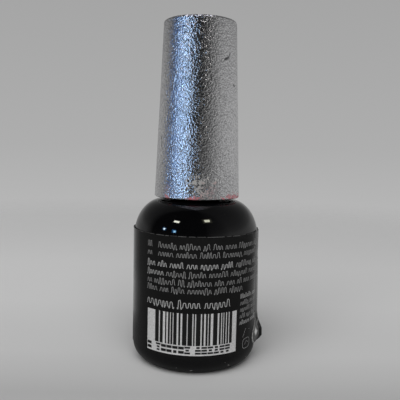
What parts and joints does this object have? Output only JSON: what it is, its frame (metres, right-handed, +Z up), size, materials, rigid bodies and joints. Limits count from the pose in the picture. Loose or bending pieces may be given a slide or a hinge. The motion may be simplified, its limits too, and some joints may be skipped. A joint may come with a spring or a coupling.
{
  "type": "nail polish bottle",
  "caption": "Round black nail polish bottle with a wrap label and a tall tapered silver screw cap that carries the brush.",
  "frame": {"origin": "centre of the bottle's base, on the surface it stands on", "axes": "+Z up along the bottle's axis, from the base to the top of the cap; the reading side of the label faces -Y, with the barcode panel's middle close to -Y"},
  "size_m": [0.031, 0.031, 0.0825],
  "materials": {
    "black_glass": "glass with an opaque glossy black lacquer",
    "label_film": "satin black printed plastic film",
    "gel": "thick glossy red-pink gel",
    "steel": "polished stainless steel",
    "white_film": "thin white polyethylene",
    "foam": "white foamed polyethylene",
    "black_plastic": "black moulded polypropylene",
    "silver_shell": "metallised plastic with a fine crinkled silver texture",
    "stem_plastic": "smooth moulded plastic",
    "bristle": "fine nylon filaments"
  },
  "bodies": {
    "bottle": {"glass_bottle": "black_glass", "wrap_label": "label_film", "gel_polish": "gel"},
    "ball_1": {"agitator_ball_1": "steel"},
    "ball_2": {"agitator_ball_2": "steel"},
    "washer": {"lip_washer": "white_film"},
    "liner": {"cap_liner": "foam"},
    "cap": {"inner_cap": "black_plastic", "overcap": "silver_shell", "brush_stem": "stem_plastic", "bristle_staple": "steel", "bristle_tuft": "bristle"}
  },
  "joints": [
    {"name": "cap_lift", "type": "slide", "parent": "bottle", "child": "washer", "axis": [0, 0, 1], "range_m": [0, 0.06]},
    {"name": "thread_rise", "type": "slide", "parent": "washer", "child": "liner", "axis": [0, 0, 1], "range_m": [0, 0.0032]},
    {"name": "cap_turn", "type": "hinge", "parent": "liner", "child": "cap", "pos_m": [0, 0, 0.051], "axis": [0, 0, 1], "range_deg": [0, 540]},
    {"name": "ball_1_rise", "type": "slide", "parent": "bottle", "child": "ball_1", "axis": [0, 0, 1], "range_m": [0, 0.02]},
    {"name": "ball_2_rise", "type": "slide", "parent": "bottle", "child": "ball_2", "axis": [0, 0, 1], "range_m": [0, 0.02]}
  ],
  "couplings": [
    {"joint": "thread_rise", "follows": "cap_turn", "m_per_rad": 0.00033688}
  ]
}
